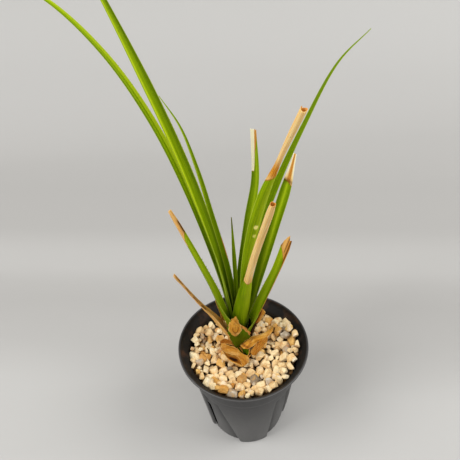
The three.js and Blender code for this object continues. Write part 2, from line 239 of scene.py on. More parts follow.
class Graph:
    """Node tree of one material, written as nested calls."""

    def __init__(self, name):
        self.material = bpy.data.materials.new(name)
        self.material.use_nodes = True
        self.tree = self.material.node_tree
        self.shader = self.tree.nodes["Principled BSDF"]

    def node(self, kind, inputs=None, output=0, **settings):
        node = self.tree.nodes.new(kind)
        for key, value in settings.items():
            setattr(node, key, value)
        for key, value in (inputs or {}).items():
            self.plug(value, node.inputs[key])
        return node.outputs[output]

    def plug(self, value, socket):
        if isinstance(value, bpy.types.NodeSocket):
            self.tree.links.new(value, socket)
        else:
            socket.default_value = value

    def finish(self, body, rough, shine, **values):
        """The material, with its colour, roughness, specular level and any other values."""
        values.update(Base_Color=body, Roughness=rough, Specular_IOR_Level=shine)
        for key, value in values.items():
            self.plug(value, self.shader.inputs[key.replace("_", " ")])
        return self.material

    def field(self, name):
        return self.node("ShaderNodeAttribute", output=2, attribute_name=name)

    def place(self, scale=(1, 1, 1)):
        """Place in the object, in metres, stretched by scale."""
        point = self.node("ShaderNodeTexCoord", output=3)
        return self.node("ShaderNodeMapping", {0: point, 3: scale})

    def noise(self, scale, detail=3, rough=0.55, at=None):
        return self.node("ShaderNodeTexNoise", {"Vector": at or self.place(), "Scale": scale,
                                                "Detail": detail, "Roughness": rough})

    def math(self, operation, a, b=0):
        return self.node("ShaderNodeMath", {0: a, 1: b}, operation=operation)

    def times(self, a, b):
        return self.math("MULTIPLY", a, b)

    def vector(self, x, y, z):
        return self.node("ShaderNodeCombineXYZ", {0: x, 1: y, 2: z})

    def grain(self, across, along):
        """Place on a blade at these rates across and along it, shifted by its shade."""
        return self.vector(self.times(self.field("across"), across),
                           self.times(self.field("along"), along), self.field("shade"))

    def span(self, value, low, high, most=1, least=0):
        """Smooth rise from least to most while the value goes from low to high."""
        return self.node("ShaderNodeMapRange", {0: value, 1: low, 2: high, 3: least, 4: most},
                         interpolation_type="SMOOTHSTEP")

    def mix(self, share, a, b):
        """Blend of two colours, each a socket or three display values."""
        a, b = (colour(*tint) if isinstance(tint, tuple) else tint for tint in (a, b))
        return self.node("ShaderNodeMix", {0: share, 6: a, 7: b}, output=2, data_type="RGBA")

    def layers(self, base, *coats):
        """Coats of colour over a base, each a share and a colour."""
        for share, tint in coats:
            base = self.mix(share, base, tint)
        return base

    def bump(self, height, distance, strength=1, **normal):
        return self.node("ShaderNodeBump", {"Height": height, "Distance": distance, "Strength": strength,
                                            **normal})


def colour(red, green, blue):
    """Linear colour from display values of 0 to 255."""
    def linear(value):
        value /= 255
        return value / 12.92 if value <= 0.04045 else ((value + 0.055) / 1.055) ** 2.4
    return (linear(red), linear(green), linear(blue), 1)


def make_leaf_material():
    g = Graph("green_leaf")
    dry = g.field("dry")
    veins = g.noise(3, 4, 0.6, at=g.grain(7, 1.3))
    fine_veins = g.noise(1.6, 2, 0.5, at=g.grain(40, 3))
    green = g.layers(
        g.mix(g.span(veins, 0.35, 0.68), (98, 130, 0), (156, 180, 0)),
        (g.span(g.noise(90), 0.4, 0.75, 0.5), (128, 160, 0)),
        (g.span(g.field("shade"), 0, 1, 0.75), (60, 96, 0)),
        (g.span(fine_veins, 0.45, 0.7, 0.35), (184, 202, 30)),
        (g.times(g.field("inner"), 0.25), (166, 192, 0)),
        # Painted highlight (lit) and painted shade (dim)
        (g.field("lit"), (206, 222, 44)),
        (g.field("dim"), (58, 90, 0)),
        (g.span(g.math("ABSOLUTE", g.field("across")), 0.88, 1, 0.5), (200, 206, 84)))
    streaks = g.noise(1.5, 4, 0.6, at=g.grain(16, 5))
    tan = g.layers(
        g.mix(g.span(streaks, 0.35, 0.7), (236, 180, 104), (255, 224, 160)),
        (g.field("pale"), (255, 244, 206)),
        (g.field("scorch"), g.mix(g.span(streaks, 0.4, 0.7), (178, 100, 14), (236, 172, 62))),
        (g.times(g.field("hollow"), 0.75), (214, 124, 36)))
    fray = g.math("ADD", dry, g.times(g.math("SUBTRACT", streaks, 0.5), 0.35))
    rust = g.times(g.span(fray, 0.28, 0.5), g.span(fray, 0.75, 0.5))
    body = g.layers(
        g.mix(g.span(fray, 0.42, 0.58), green, tan),
        (g.times(rust, 0.8), (168, 100, 28)),
        (g.span(g.noise(900, 1), 0.72, 0.8, 0.5), (96, 84, 20)),
        (g.field("spot"), (255, 244, 140)),
        (g.field("dark"), (70, 38, 6)))
    relief = g.math("ADD", g.times(veins, 0.5), g.times(fine_veins, 0.5))
    return g.finish(body, g.span(dry, 0.3, 0.7, 0.72, 0.42), 0.06, Normal=g.bump(relief, 0.00012, 0.8),
                    Subsurface_Weight=0.25, Subsurface_Radius=(0.9, 1, 0.35), Subsurface_Scale=0.0012)


def make_dry_material():
    g = Graph("dry_sheath")
    dark, along_fibres = g.field("dark"), g.grain(14, 2.5)
    fibres = g.noise(1.8, 5, 0.65, at=along_fibres)
    cracks = g.node("ShaderNodeTexNoise", {"Vector": along_fibres, "Scale": 3.4, "Detail": 2,
                                           "Distortion": 0.6})
    brown = g.mix(g.span(fibres, 0.35, 0.65), (96, 44, 4), (172, 96, 18))
    edge = g.span(g.math("ABSOLUTE", g.field("across")), 0.8, 1, 0.7)
    body = g.layers(
        g.mix(g.span(fibres, 0.32, 0.7), (186, 116, 14), (232, 174, 70)),
        (g.span(g.noise(170, 4, 0.6), 0.45, 0.75, 0.7), (246, 202, 122)),
        # Inner faces browner: painted shade on the hollow side
        (g.times(g.field("inner"), 0.2), brown),
        (dark, brown),
        (g.span(cracks, 0.62, 0.7, 0.7), (132, 74, 12)),
        (g.times(edge, g.math("SUBTRACT", 1, dark)), (250, 208, 128)),
        # Painted light, on the dead leaf
        (g.field("lit"), (255, 206, 130)),
        # Near black where dark is strongest: painted shade in mouths and creases
        (g.span(dark, 0.8, 1), (44, 20, 4)))
    relief = g.math("ADD", fibres, g.times(g.noise(520), 0.4))
    return g.finish(body, 0.7, 0.15, Normal=g.bump(relief, 0.00025, 0.9),
                    Subsurface_Weight=0.15, Subsurface_Radius=(1, 0.6, 0.3), Subsurface_Scale=0.0008)


def make_stone_material():
    g = Graph("gravel")
    tone, warmth = g.field("tone"), g.field("warmth")
    shift = g.vector(g.times(tone, 3), g.times(warmth, 5), tone)
    point = g.node("ShaderNodeVectorMath", {0: g.place(), 1: shift}, operation="ADD")
    mottle = g.noise(330, 4, 0.6, at=point)
    stain = g.noise(140, at=point)
    speck = g.noise(1500, 2, at=point)
    body = g.layers(
        g.mix(tone, (236, 200, 142), (255, 238, 194)),
        (g.span(warmth, 0.70, 0.74), g.mix(tone, (206, 150, 72), (242, 200, 120))),
        (g.span(warmth, 0.91, 0.93), g.mix(tone, (128, 112, 92), (190, 174, 150))),
        (g.span(mottle, 0.48, 0.7, 0.55), (214, 162, 84)),
        (g.span(stain, 0.55, 0.7, 0.65), (200, 124, 34)),
        (g.span(stain, 0.44, 0.32, 0.5), (250, 240, 220)),
        (g.span(speck, 0.64, 0.74, 0.45), (96, 66, 36)),
        # Painted shade in the gaps between stones
        (g.times(g.field("deep"), 0.94), (104, 66, 16)))
    coarse = g.bump(g.noise(420, at=point), 0.0008, 0.9)
    return g.finish(body, 0.82, 0.3, Normal=g.bump(g.noise(1200, 4, at=point), 0.0003, Normal=coarse))


def make_pot_material():
    g = Graph("pot_plastic")
    inside = g.field("inside")
    scuff = g.noise(60, 5, 0.62, at=g.place((1, 1, 0.35)))
    height = g.node("ShaderNodeSeparateXYZ", {0: g.place()}, output=2)
    film = g.times(inside, g.span(g.noise(75, 4), 0.48, 0.7, 0.8))
    body = g.layers(
        # Painted reflection and shade: darker under the rim, paler towards the foot
        g.mix(g.span(height, SHADE_TOP, SHADE_FOOT), (46, 45, 45), (93, 92, 91)),
        (g.span(scuff, 0.45, 0.75, 0.4), (88, 88, 88)),
        # Painted shade in the corners beside the feet, near black
        (g.times(g.field("corner"), 0.95), (8, 8, 8)),
        # Painted highlight on the lip
        (g.field("lip"), (112, 110, 108)),
        # Painted shade over the inner wall
        (inside, (19, 17, 15)),
        (film, (78, 52, 34)))
    rough = g.math("ADD", g.span(scuff, 0.3, 0.8, 0.48, 0.36), g.times(inside, 0.3))
    relief = g.math("ADD", g.times(g.noise(2600, 2), 0.3), g.noise(300, 2))
    return g.finish(body, rough, 0.3, Normal=g.bump(relief, 0.00006, 0.7))


def make_slit_shadow_material():
    """Painted shadow: near-black, dull plastic on the cut edges of the pot's narrow slits."""
    g = Graph("slit_shadow")
    return g.finish(g.mix(g.noise(900, 2), (2, 2, 2), (9, 9, 9)), 1, 0)


LEAF = make_leaf_material()
DRY = make_dry_material()
STONE = make_stone_material()
POT = make_pot_material()
SLIT_SHADOW = make_slit_shadow_material()


# Pot

def wall_radius(height):
    wall = FOOT_RADIUS + (SHOULDER_RADIUS - FOOT_RADIUS) * np.clip(height, 0, None) / SHOULDER_HEIGHT
    flare = np.clip((height - SHOULDER_HEIGHT) / (POT_HEIGHT - RIM_DROP - SHOULDER_HEIGHT), 0, 1)
    band = SHOULDER_RADIUS + (RIM_RADIUS - RIM_INSET - SHOULDER_RADIUS) * flare
    return np.where(height > SHOULDER_HEIGHT, band, wall)


def pot_ring(height, inset, lift=0.0, ridge=False):
    """Ring of four full feet with set-back panels between them: x, y, z and how much painted shade it has in
    a corner beside a foot.
    """
    bound = min(height, PANEL_TOP)
    right = FOOT_RIGHT + FOOT_RIGHT_SLOPE * bound
    left = FOOT_LEFT + FOOT_LEFT_SLOPE * bound
    after = left + PANEL_TURN
    foot = np.linspace(left, right, 25)[:-1]
    step = np.linspace(0, 1, 6)
    rise, fall = smooth(step, 0, 1), 1 - smooth(step[:-1], 0, 1)
    panel = np.linspace(right + PANEL_STEP, after - PANEL_STEP, 17)[1:-1]
    angles = [foot, right + PANEL_STEP * step, panel, after - PANEL_STEP * (1 - step[:-1])]
    angles = np.concatenate(angles)[None] + np.arange(PANELS)[:, None] * PANEL_TURN
    angles = np.radians(angles.reshape(-1))
    set_back = np.tile(np.concatenate([foot * 0, rise, panel * 0 + 1, fall]), PANELS)
    depth = PANEL_DEPTH * (1 - smooth(height, PANEL_TOP, PANEL_TOP + PANEL_FADE))
    radius = wall_radius(height) - inset - depth * set_back
    if ridge:
        radius = radius - RIDGE_DEPTH * (1 - smooth(height, RIDGE_HEIGHT - 0.5, RIDGE_HEIGHT + 0.5))
    ring = np.stack([radius * np.sin(angles), -radius * np.cos(angles), height + lift * set_back], -1)
    beside = np.minimum(panel - right, after - panel)
    # Painted shade in each panel's corners, fading away from the feet
    corner = np.concatenate([foot * 0, rise, np.exp(-(beside - PANEL_STEP) / CORNER_REACH), fall])
    return np.column_stack([ring, np.tile(corner, PANELS) * depth / PANEL_DEPTH])


def circle(radius, angle, height):
    return np.stack([radius * np.cos(angle), radius * np.sin(angle), height + 0 * angle], -1)


def round_ring(radius, height, pattern):
    angles = np.arctan2(pattern[:, 1], pattern[:, 0])
    return np.column_stack([circle(radius, angles, height), angles * 0])


def make_pot():
    sole = pot_ring(0, 0, PANEL_LIFT)
    cols = len(sole)
    outer = [0.25, 0.8, 2, 4, 8, 12, 16, 20, 25, 30, 35, 40, 44, 48, 50, 52, 53, 54, 55, 56, 57, 59,
             61, 61.4, 61.7, 62, 62.3, 62.6, 64, 67, 70, 72, 73.4, 74.2, 74.8, 75.6, 77, 79, 80.6]
    rings = [round_ring(0.4, 0, sole), round_ring(22, 0, sole), pot_ring(0, 0.5, PANEL_LIFT)]
    rings += [pot_ring(h, max(0, 0.5 - h), PANEL_LIFT * (1 - smooth(h, 0, 4)), ridge=True) for h in outer]
    mid, bend = RIM_RADIUS - RIM_THICKNESS / 2, RIM_THICKNESS / 2
    lip_start = len(rings)
    for angle in np.radians(LIP_TURNS):
        lip_height = POT_HEIGHT - bend + bend * math.sin(angle)
        rings.append(round_ring(mid + bend * math.cos(angle), lip_height, sole))
    outside_count = len(rings) - 5
    rings += [pot_ring(h, WALL) for h in outer[::-1] if 3 < h < 80]
    rings += [pot_ring(FLOOR + 0.6, WALL + 0.6), round_ring(24, FLOOR, sole), round_ring(0.4, FLOOR, sole)]
    inside = np.repeat(np.arange(len(rings)) >= outside_count, cols)
    # Painted highlight round the lip, strongest on its outer upper side
    shine = np.zeros(len(rings))
    shine[lip_start:lip_start + len(LIP_TURNS)] = peak(LIP_TURNS, 40, 26) * 0.6
    points = np.concatenate(rings)
    builder = Builder()
    builder.add(points[:, :3], tube_faces(len(rings), cols), inside=inside, corner=points[:, 3],
                lip=np.repeat(shine, cols))
    cut_slits(builder.make("pot_body", POT, "pot_plastic", "pot"))


def cut_slits(pot):
    cutter = Builder()
    for panel in SLIT_PANELS:
        turn = math.radians(PANEL_TURN * panel + FOOT_RIGHT + SLIT_BESIDE_FOOT)
        side = np.array([math.cos(turn), math.sin(turn), 0]) * SLIT_WIDTH / 2
        out = np.array([math.sin(turn), -math.cos(turn), 0])
        near, far = out * SLIT_NEAR, out * SLIT_FAR
        base = [near - side, near + side, far + side, far - side]
        corners = [p + [0, 0, height] for height in (SLIT_BOTTOM, SLIT_TOP) for p in base]
        cutter.add(corners, [(0, 1, 2, 3), (7, 6, 5, 4), (4, 5, 1, 0), (5, 6, 2, 1), (6, 7, 3, 2),
                             (7, 4, 0, 3)])
    tool = link("slits", cutter.mesh("slits", SLIT_SHADOW, rounded=False))
    cut = pot.modifiers.new("slits", "BOOLEAN")
    cut.object = tool
    cut.operation = "DIFFERENCE"
    cut.solver = "EXACT"
    cut.material_mode = "TRANSFER"
    graph = bpy.context.evaluated_depsgraph_get()
    mesh = bpy.data.meshes.new_from_object(pot.evaluated_get(graph))
    pot.modifiers.clear()
    pot.data = mesh
    bpy.data.objects.remove(tool)


# Leaves. The spines and section tables are close to those of the CAD model.

def distances(line):
    """How far along a line of points each of them is."""
    return np.concatenate([[0], np.cumsum(np.linalg.norm(np.diff(line, axis=0), axis=1))])


def catmull_rom(points, count):
    """Points evenly spaced along a centripetal Catmull-Rom curve."""
    p = np.asarray(points, float)
    p = np.concatenate([[2 * p[0] - p[1]], p, [2 * p[-1] - p[-2]]])
    dense = []
    for i in range(1, len(p) - 2):
        a, b, c, d = p[i - 1:i + 3]
        ab, bc, cd = (np.linalg.norm(v) ** 0.5 for v in (b - a, c - b, d - c))
        t0, t1, t2, t3 = 0, ab, ab + bc, ab + bc + cd
        t = np.linspace(t1, t2, 60, endpoint=(i == len(p) - 3))[:, None]

        def blend(first, second, start, stop):
            return (stop - t) / (stop - start) * first + (t - start) / (stop - start) * second

        abc = blend(blend(a, b, t0, t1), blend(b, c, t1, t2), t0, t2)
        bcd = blend(blend(b, c, t1, t2), blend(c, d, t2, t3), t1, t3)
        dense.append(blend(abc, bcd, t1, t2))
    dense = np.concatenate(dense)
    length = distances(dense)
    place = np.linspace(0, length[-1], count)
    return np.stack([np.interp(place, length, dense[:, k]) for k in range(3)], -1), length[-1]


def soften(values, reach):
    """Moving average of a row of values, ends held."""
    kernel = np.hanning(2 * reach + 3)[1:-1]
    return np.convolve(np.pad(values, reach, "edge"), kernel / kernel.sum(), "valid")


def blade_grid(line, table, hollow_side, cols, twist, keel, spiral=0.0, end=None):
    """Middle surface of a channelled blade along a line of points, and its own coordinates.

    end(across) gives the share of the blade's length that each column of points reaches.
    """
    rows = len(line)
    place = np.linspace(0, 1, rows)
    tangent = np.gradient(line, axis=0)
    tangent /= np.linalg.norm(tangent, axis=1, keepdims=True)
    hollow = hollow_side - (hollow_side * tangent).sum(1, keepdims=True) * tangent
    hollow /= np.linalg.norm(hollow, axis=1, keepdims=True)
    across = np.cross(tangent, hollow)
    turn = np.radians(twist) * smooth(place, *TWIST_RANGE)[:, None]
    hollow, across = (hollow * np.cos(turn) + across * np.sin(turn),
                      across * np.cos(turn) - hollow * np.sin(turn))
    table = np.asarray(table, float)
    reach = max(1, rows // 24)
    half_width = soften(np.interp(place, table[:, 0], table[:, 1]), reach)
    arc = np.radians(soften(np.interp(place, table[:, 0], table[:, 2]), reach))
    radius = half_width / np.sin(np.minimum(arc, math.pi) / 2)
    depth = radius * (1 - np.cos(arc / 2))
    shift = depth / 2 * smooth(place, 0.1, 0.35)
    side = np.linspace(-1, 1, cols)
    angle = side[None] * arc[:, None] / 2
    swirl = 1 - spiral * smooth(arc, 3.2, 5.0)[:, None] * (side[None] + 1) / 2
    ridge = keel * (1 - smooth(place, 0.55, 0.8)) * depth
    reach_out = radius[:, None] * swirl + ridge[:, None] * peak(side[None], 0, 0.16)
    centre = line + hollow * (radius - shift)[:, None]
    mid = (centre[:, None] - hollow[:, None] * (reach_out * np.cos(angle))[..., None]
           + across[:, None] * (reach_out * np.sin(angle))[..., None])
    along = place[:, None] * (np.ones(cols) if end is None else end(side))[None]
    if end is not None:
        for column in range(cols):
            for k in range(3):
                mid[:, column, k] = np.interp(along[:, column], place, mid[:, column, k])
    return mid, along, side[None] + place[:, None] * 0


def add_spines(builder, edge, outward, size, **fields):
    """Small hooked prickles along a leaf's margin, pointing to its tip."""
    place = distances(edge)
    for at in np.arange(SPINE_SPACING, place[-1] * 0.93, SPINE_SPACING):
        at += rng.uniform(-0.3, 0.3) * SPINE_SPACING
        k = int(np.searchsorted(place, at))
        if not 1 <= k < len(edge) - 1:
            continue
        along = edge[k + 1] - edge[k - 1]
        along /= np.linalg.norm(along)
        out = outward[k] / np.linalg.norm(outward[k])
        lift = np.cross(along, out) * size * 0.16
        tip = edge[k] + out * size * rng.uniform(0.55, 0.9) + along * size * 0.7
        corners = ((-0.4, 1), (0.5, 1), (0.5, -1), (-0.4, -1))
        base = [edge[k] + along * size * share - out * 0.1 + lift * sign for share, sign in corners]
        builder.add(base + [tip], [(0, 1, 2, 3), (1, 0, 4), (2, 1, 4), (3, 2, 4), (0, 3, 4)],
                    dark=[0.35] * 4 + [1.0], **fields)


# Sections of the blades: share of the length, half width and arc in degrees
SLIM_BASE = [(0, 2, 120), (0.12, 2.6, 140)]
SPEAR = [(0, 1.2, 130), (0.3, 1.55, 140), (0.7, 1.3, 130), (1, 0.2, 120)]
NARROW = SLIM_BASE + [(0.4, 2.9, 120), (0.7, 2.1, 105), (1, 0.2, 90)]
CUT_SQUARE = SLIM_BASE + [(0.4, 3.1, 110), (0.7, 2.9, 50), (1, 1.8, 20)]
SLENDER = SLIM_BASE + [(0.4, 2.8, 110), (0.56, 2.45, 100), (0.7, 1.65, 100), (1, 0.15, 90)]
ARCHING = SLIM_BASE + [(0.35, 2.75, 120), (0.6, 2, 105), (0.8, 1, 95), (1, 0.15, 90)]
BROAD = [(0, 2.7, 130), (0.12, 2.8, 140), (0.45, 3.75, 105), (0.7, 2.95, 100), (0.85, 1.4, 95),
         (1, 0.15, 90)]
NOTCHED = [(0, 4, 120), (0.2, 3.7, 140), (0.6, 3.95, 105), (0.85, 3.6, 60), (1, 0.9, 30)]
SHORT_RIGHT = [(0, 5.8, 110), (0.2, 5.5, 120), (0.38, 4.1, 125), (0.7, 3.3, 80), (0.85, 3.6, 50),
               (1, 4, 35)]
SHORT_LEFT = [(0, 5.6, 120), (0.2, 5.3, 135), (0.5, 3, 130), (0.93, 1.8, 140), (1, 1.1, 150)]
ROLLED_TIP = [(0, 2.7, 110), (0.3, 3.2, 140), (0.6, 4.1, 130), (0.7, 3.6, 150), (0.78, 1.9, 230),
              (0.83, 1.3, 330), (0.92, 1.75, 355), (1, 1.8, 358)]
ROLLED_HALF = [(0, 5, 140), (0.2, 6.4, 140), (0.36, 4.5, 160), (0.47, 2.9, 260), (0.52, 2.25, 330),
               (0.96, 1.95, 358), (1, 1.3, 358)]
FOLDED = [(0, 5.7, 130), (0.3, 4.9, 140), (0.55, 1.9, 170), (0.8, 1.2, 180), (1, 1.0, 170)]
SPLINTER = [(0, 2.4, 90), (0.5, 1.3, 90), (1, 0.2, 80)]

# Painted shade at a leaf's base: how dim it is, and where along the leaf that fades out
BARE, SHADED = (1, 0.05, 0.2), (0.55, 0.03, 0.3)

# Node, azimuth, twist, section, shade, keel, and spine as reach from the plant's axis and height
# over its foot. Shade runs from 0 for the yellowest green to 1 for the darkest. A row of LEAVES ends
# with its base, given painted shade, and bands of painted highlight and painted shade down it:
# middle and width across the blade, and strength, below 0 for painted shade.
LEAVES = [
    ("leaf_spear", 100, 0, SPEAR, 0.8, 0.2,
     [(1.3, 8), (1.6, 50), (2.4, 111.5)],
     SHADED, []),
    ("leaf_back_left", 145, 8, NARROW, 0.25, 0.3,
     [(2.1, 6), (2.9, 34), (6.3, 69), (14.5, 107), (22.4, 141), (30.1, 163), (41.7, 178)],
     SHADED, [(0.6, 0.5, -0.6)]),
    ("leaf_back_right", 50, 8, CUT_SQUARE, 0.75, 0.3,
     [(2.1, 6), (3.2, 34), (5.4, 59), (15.8, 101), (23.4, 126), (22.6, 159)],
     SHADED, [(-0.8, 0.35, -0.6), (0.3, 0.25, 0.3)]),
    ("leaf_left_broad", 175, -35, BROAD, 0.05, 0.4,
     [(2.9, 5), (5, 28), (9.8, 79), (18.8, 126), (28.2, 164), (41.3, 207), (48.7, 229), (57.7, 254),
      (67.5, 269)],
     SHADED, [(-0.45, 0.22, 0.5), (-0.5, 0.07, 0.5), (0.75, 0.4, -0.6)]),
    ("leaf_right_rolled", -22, -45, ROLLED_TIP, 0.15, 0.2,
     [(2.9, 5), (3.2, 28), (8.3, 81), (17.5, 125), (29.2, 160), (38.3, 182.8)],
     BARE, [(-0.3, 0.4, 0.35)]),
    ("leaf_right_pointed", 20, 20, SLENDER, 0.62, 0.3,
     [(3.7, 4), (5.4, 30), (10.4, 77), (26.8, 123.4), (44.2, 160), (62, 190), (79.6, 203.6)],
     SHADED, [(0.0, 2.0, -0.4)]),
    ("leaf_left_arching", 158, -32, ARCHING, 0.3, 0.35,
     [(3.8, 4), (5.5, 24), (13.6, 75), (25.4, 124), (41.8, 168), (62.7, 202), (89.5, 226), (120, 236),
      (148, 234.5)],
     SHADED, [(-0.75, 0.3, -0.65), (0.75, 0.3, 0.5), (0.4, 0.07, 0.5)]),
    ("leaf_right_notched", 8, 35, NOTCHED, 0.68, 0.2,
     [(4.6, 3), (6, 20), (14.3, 59), (24.2, 99), (32.2, 130), (36, 148.8)],
     BARE, [(-0.1, 0.2, 0.45), (-0.9, 0.4, -0.6), (0.7, 0.3, -0.4)]),
    ("leaf_left_short", 207, -48, SHORT_LEFT, 0.3, 0.2,
     [(6.2, 3), (7.2, 20), (15, 58), (25.4, 96), (36.3, 132.3)],
     BARE, [(0.3, 0.3, 0.25), (-0.7, 0.4, -0.4)]),
    ("leaf_front_rolled", -56, -40, ROLLED_HALF, 0.1, 0.1,
     [(5.3, 2), (4.9, 28), (7.8, 52), (17.1, 88), (35.6, 142)],
     BARE, [(-0.5, 0.4, 0.4), (0.5, 0.3, -0.35)]),
    ("leaf_right_short", -18, 45, SHORT_RIGHT, 0.5, 0.15,
     [(5.3, 1), (7.5, 14), (15.6, 44), (26, 77), (33.8, 106)],
     BARE, [(-0.2, 0.3, 0.25), (0.5, 0.3, -0.35)]),
]

SHEATHS = [
    ("leaf_left_dead", 189, 8, FOLDED, 0.3, 0,
     [(6.6, -1), (8.6, 10), (14.8, 27), (27.7, 53), (38.1, 76.4)]),
    ("dry_splinter_back", 163, 0, SPLINTER, 0.4, 0,
     [(8.2, 2), (11.8, 23), (15.4, 41)]),
]

# Leaves whose dry tip rolls up, and how much tighter one of its edges is
ROLLED = ("leaf_right_rolled", "leaf_front_rolled")
ROLL_SPIRAL = 0.12

# Torn dry pieces, in tenths of a millimetre: rows from one end to the other, each with its left
# edge, middle and right edge
TORN = {
    "dry_sheath_front": [
        (-75, 5, 907, -48, -14, 908, -17, -2, 924),
        (-92, 12, 951, -53, -16, 961, -6, 4, 951),
        (-88, 16, 998, -52, -8, 1013, -11, 8, 993),
        (-74, 18, 1038, -47, 0, 1055, -24, 9, 1036),
        (-42, 14, 1070, -37, 10, 1082, -33, 10, 1073),
    ],
    "dry_collar": [
        (-60, 0, 786, -47, -4, 769, -32, -2, 783),
        (-83, 18, 836, -40, -7, 840, 11, 3, 828),
        (-97, 28, 899, -29, -1, 902, 48, 18, 848),
        (-98, 32, 937, -20, 8, 949, 55, 26, 875),
        (-92, 36, 971, -10, 16, 985, 32, 26, 933),
    ],
    "dry_sheath_right": [
        (25, 80, 766, 56, 60, 788, 72, 85, 780),
        (40, 100, 846, 78, 74, 873, 98, 95, 871),
        (57, 120, 917, 108, 86, 943, 140, 105, 931),
        (84, 125, 977, 137, 94, 996, 167, 108, 985),
        (122, 115, 1012, 141, 102, 1040, 156, 108, 1019),
    ],
    "dry_strip_upper": [
        (-22, -2, 786, 0, -42, 804, 26, -36, 786),
        (6, 27, 802, 29, -23, 820, 56, -25, 790),
        (64, 63, 796, 78, 17, 814, 99, 17, 782),
        (130, 83, 788, 140, 50, 798, 158, 49, 772),
        (191, 123, 776, 197, 104, 784, 207, 98, 770),
        (222, 154, 770, 224, 146, 772, 226, 142, 770),
    ],
    "dry_strip_lower": [
        (45, -48, 766, 57, -78, 774, 78, -71, 756),
        (69, -17, 776, 89, -44, 786, 113, -42, 764),
        (103, 22, 778, 124, -3, 786, 146, 0, 766),
        (137, 53, 774, 153, 38, 778, 171, 35, 764),
        (168, 73, 768, 174, 65, 770, 181, 61, 766),
    ],
    "dry_sheath_fallen": [
        (-153, 33, 782, -160, 11, 776, -153, -8, 764),
        (-109, 5, 794, -118, -35, 800, -120, -48, 780),
        (-58, -22, 794, -68, -63, 806, -79, -77, 790),
        (-12, -67, 790, -24, -96, 802, -37, -100, 788),
        (31, -97, 776, 5, -124, 784, -25, -125, 770),
        (25, -128, 760, 6, -144, 760, -12, -150, 750),
    ],
}


# Pale spots on the rolled leaf: place along and across it, size and strength
SPOTS = ((0.58, 0.06, 0.0078, 1.0), (0.543, 0.0, 0.006, 0.7))


def dryness(node, along, across, base, bands):
    """How dry, pale, scorched, dark and spotted a green leaf is over its surface, and how lit and dim
    it is by painted highlight and painted shade.
    """
    dry, pale, scorch, dark, spot, lit, dim = np.zeros((7,) + along.shape)
    rim = np.abs(across)
    if node == "leaf_right_rolled":
        dry = smooth(along + 0.02 * across, 0.76, 0.79)
        scorch = smooth(along, 0.75, 0.79) * (1 - smooth(along, 0.8, 0.85))
        for place, side, size, strength in SPOTS:
            away = np.hypot(along - place, (across - side) * 0.032) / size
            spot = np.maximum(spot, (1 - smooth(away, 0.7, 1.3)) * strength)
    elif node == "leaf_front_rolled":
        dry = smooth(along - 0.01 * rim, 0.478, 0.5)
        scorch = smooth(along, 0.985, 1.0) * 0.6 + 0.3 * (1 - smooth(along, 0.5, 0.56))
    elif node == "leaf_right_notched":
        dry = smooth(along + 0.008 * across, 0.875, 0.89)
        pale = smooth(rim, 0.35, 0.7) * smooth(along, 0.88, 0.94)
        scorch = (1 - smooth(rim, 0.2, 0.7)) * 0.9
        dark = peak(along, 0.887, 0.009) * 0.7
    elif node == "leaf_back_right":
        share = 0.35 - 4.0 * (1 - along)
        pale = 1 - smooth(across - np.maximum(share, -0.4), -0.1, 0.1)
        right = 1 - pale
        dry = right * smooth(along - 0.07 * across, 0.87, 0.93)
        dry = np.maximum(pale * smooth(along, 0.815, 0.83), dry)
        scorch = right * 0.9
    elif node == "leaf_right_short":
        scorch = 0.55 + 0.35 * smooth(across, -0.3, 0.6)
        streak = peak(across - 0.1 - 0.9 * (along - 0.92), 0, 0.09) * smooth(along, 0.85, 0.88)
        dark = 0.95 * peak(across, 0.66, 0.16) * smooth(along, 0.78, 0.82)
        dark = np.maximum(dark, 0.9 * peak(across, -0.85, 0.12) * smooth(along, 0.87, 0.9))
        dark = np.maximum(dark, 0.85 * streak)
        edge = smooth(across, 0.72, 0.85) * smooth(along, 0.25, 0.45)
        dry = np.maximum(smooth(along + 0.05 * across, 0.83, 0.86), edge * 0.85)
    elif node == "leaf_left_short":
        dry = smooth(along - 0.035 * across, 0.82, 0.845)
        scorch += 0.35
        dark = peak(across, 0.8, 0.25) * smooth(along, 0.84, 0.87) * (1 - smooth(along, 0.92, 0.95))
    elif node == "leaf_back_left":
        dry = smooth(across, 0.75, 0.95) * smooth(along, 0.38, 0.4) * (1 - smooth(along, 0.47, 0.5)) * 0.9
        scorch = dry
    elif node == "leaf_spear":
        dark = smooth(along, 0.86, 0.98) * 0.7
    # Painted shade at the base, then bands of painted highlight and painted shade
    dim = base[0] * (1 - smooth(along, *base[1:]))
    for middle, width, strength in bands:
        band = strength * peak(across, middle, width)
        lit, dim = lit + np.maximum(band, 0), dim + np.maximum(-band, 0)
    return dict(dry=dry, pale=pale, scorch=scorch, dark=dark, spot=spot, lit=lit, dim=dim)


def leaf_end(node):
    """Outline of a leaf's torn or cut end, or None for a plain one."""
    if node == "leaf_right_short":
        sides, shares = [-1, -0.6, -0.1, 0.3, 0.6, 1], [0.9, 0.95, 0.995, 0.965, 0.985, 0.93]
        return lambda side: np.interp(side, sides, shares) - 0.008 * np.abs(np.sin(9 * side))
    if node == "leaf_back_right":
        return lambda side: 1 - 0.006 * np.abs(np.sin(7 * side))
    if node in ROLLED:
        return lambda side: 1 - 0.006 * np.sin(2.5 * side + 1) ** 2
    return None


def upright_line(azimuth, spine, count):
    """Points along a spine, their length, and the way that the hollow side faces."""
    azimuth = math.radians(azimuth)
    outward = np.array([math.cos(azimuth), math.sin(azimuth), 0])
    line, length = catmull_rom([PLANT + outward * reach + [0, 0, height] for reach, height in spine], count)
    return line, length, [0, 0, 0.2] - outward


# Leaves with longer spines
TOOTHED = ("leaf_left_short", "leaf_right_short")


